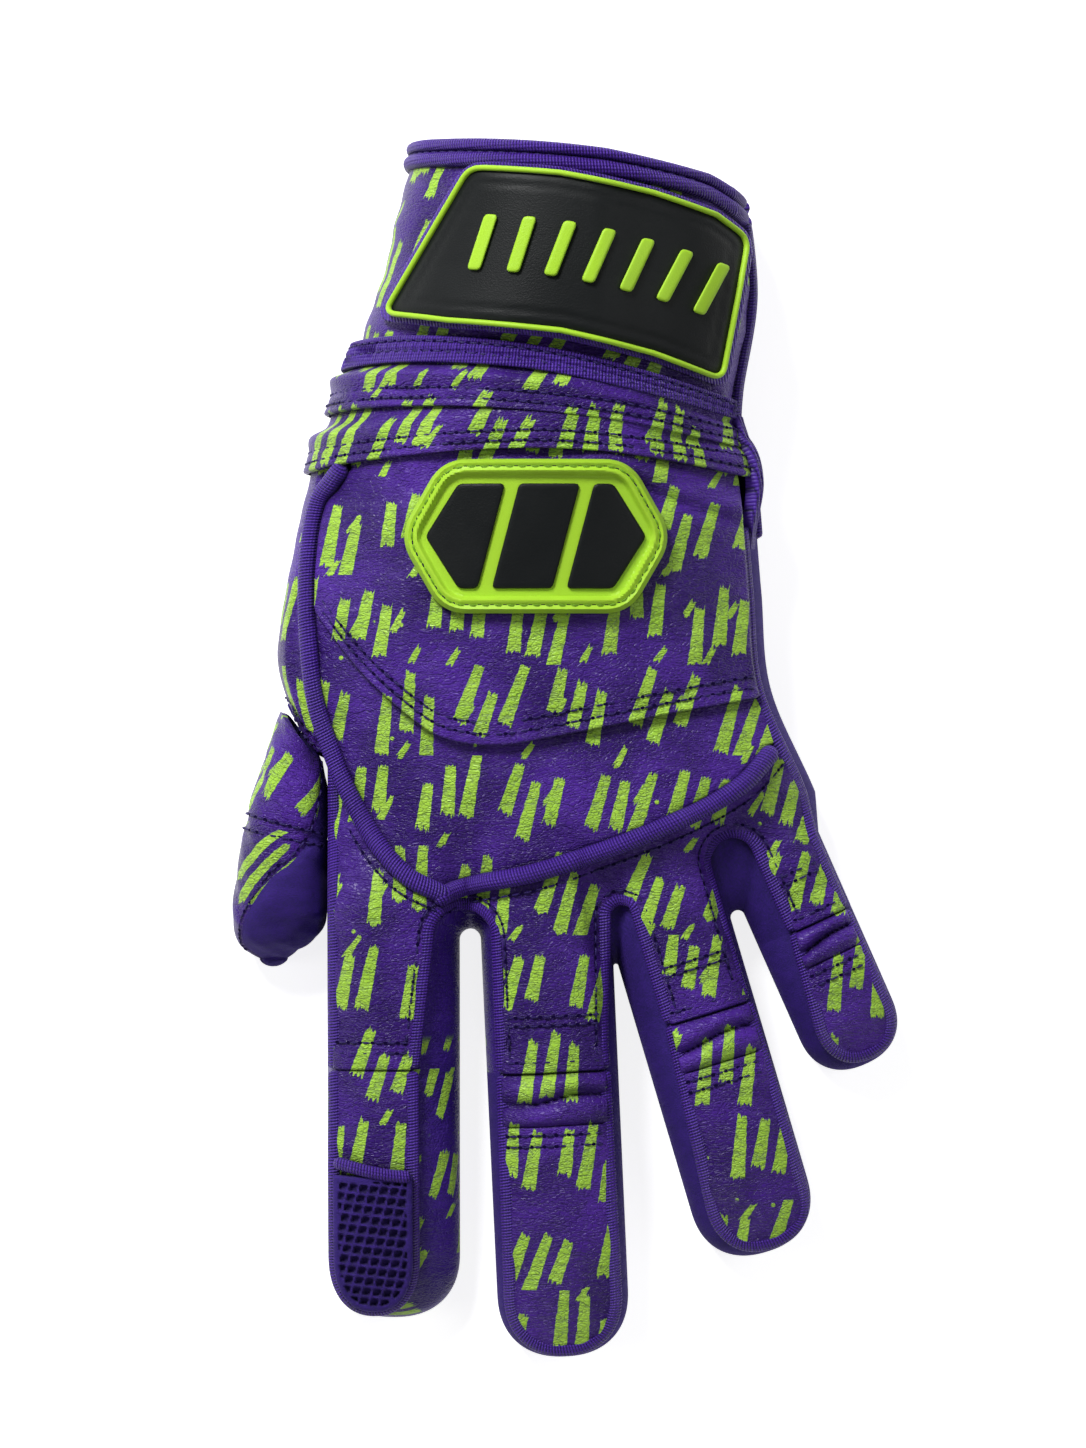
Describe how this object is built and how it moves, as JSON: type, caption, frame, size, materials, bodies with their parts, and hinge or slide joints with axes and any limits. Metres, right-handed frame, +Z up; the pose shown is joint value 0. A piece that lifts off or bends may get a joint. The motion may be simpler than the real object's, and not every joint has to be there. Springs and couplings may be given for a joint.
{
  "type": "batting glove",
  "caption": "Left-hand batting glove, filled as if worn and lying palm down, with bound cuff, wrist strap with a rubber plate, rubber badge, piped back and flexing fingers.",
  "frame": {"origin": "middle of the glove's outline, on the surface that it lies on", "axes": "+Y from the fingertips to the cuff, +X towards the little finger, +Z up out of the back of the hand"},
  "size_m": [0.1338, 0.2436, 0.0487],
  "materials": {
    "printed_leather": "soft grained, printed",
    "suede": "plain brushed suede",
    "knit_tape": "knitted tape",
    "lime_rubber": "moulded, satin",
    "black_rubber": "moulded, satin",
    "hook_and_loop": "hook and loop pile"
  },
  "bodies": {
    "hand": {"cuff_back_panel": "printed_leather", "cuff_palm_panel": "suede", "cuff_binding": "knit_tape", "wrist_band": "knit_tape", "wrist_yoke_upper": "printed_leather", "wrist_yoke_lower": "printed_leather", "slit_binding_back": "knit_tape", "slit_binding_palm": "knit_tape", "slit_tab": "knit_tape", "back_panel_upper": "printed_leather", "back_panel_lower": "printed_leather", "piping_left": "knit_tape", "piping_right": "knit_tape", "index_back_panel": "printed_leather", "finger_back_panel": "printed_leather", "gusset_indexMiddle": "suede", "gusset_middleRing": "suede", "gusset_ringLittle": "suede", "index_side_panel": "suede", "ulnar_side_panel": "suede", "side_panel": "printed_leather", "palm_panel": "suede", "loop_pad": "hook_and_loop", "badge_base": "lime_rubber", "badge_inset_1": "black_rubber", "badge_inset_2": "black_rubber", "badge_inset_3": "black_rubber", "thumb_base_back": "printed_leather", "thumb_base_front": "suede"},
    "strap": {"strap_band": "knit_tape", "strap_plate": "black_rubber", "strap_rim": "lime_rubber", "strap_hook_pad": "hook_and_loop", "strap_bar_1": "lime_rubber", "strap_bar_2": "lime_rubber", "strap_bar_3": "lime_rubber", "strap_bar_4": "lime_rubber", "strap_bar_5": "lime_rubber", "strap_bar_6": "lime_rubber", "strap_bar_7": "lime_rubber"},
    "thumb_tip": {"thumb_tip_back": "printed_leather", "thumb_tip_front": "suede"},
    "index_tip": {"index_tip_gusset": "suede", "index_tip_front": "suede", "index_tip_back": "printed_leather", "index_grip_patch": "knit_tape"},
    "middle_tip": {"middle_tip_gusset": "suede", "middle_tip_front": "suede", "middle_tip_back": "printed_leather", "middle_flex_panel": "printed_leather"},
    "ring_tip": {"ring_tip_gusset": "suede", "ring_tip_front": "suede", "ring_tip_back": "printed_leather", "ring_flex_panel": "printed_leather"},
    "little_tip": {"little_tip_gusset": "suede", "little_tip_front": "suede", "little_tip_back": "printed_leather", "little_flex_panel": "printed_leather"}
  },
  "joints": [
    {"name": "strap_peel", "type": "hinge", "parent": "hand", "child": "strap", "pos_m": [0.03468, 0.0857, 0.0249], "axis": [0.185, 0.9827, 0], "range_deg": [0, 110]},
    {"name": "index_flex", "type": "hinge", "parent": "hand", "child": "index_tip", "pos_m": [-0.03456, -0.06289, 0], "axis": [1, 0, 0], "range_deg": [0, 80]},
    {"name": "middle_flex", "type": "hinge", "parent": "hand", "child": "middle_tip", "pos_m": [-0.00266, -0.06339, 0], "axis": [0.999, 0.0454, 0], "range_deg": [0, 80]},
    {"name": "ring_flex", "type": "hinge", "parent": "hand", "child": "ring_tip", "pos_m": [0.02614, -0.05239, 0], "axis": [0.9588, 0.284, 0], "range_deg": [0, 80]},
    {"name": "little_flex", "type": "hinge", "parent": "hand", "child": "little_tip", "pos_m": [0.04804, -0.03459, 0], "axis": [0.9135, 0.4067, 0], "range_deg": [0, 80]},
    {"name": "thumb_flex", "type": "hinge", "parent": "hand", "child": "thumb_tip", "pos_m": [-0.05644, -0.01558, 0], "axis": [0.9688, -0.248, 0], "range_deg": [0, 60]}
  ]
}
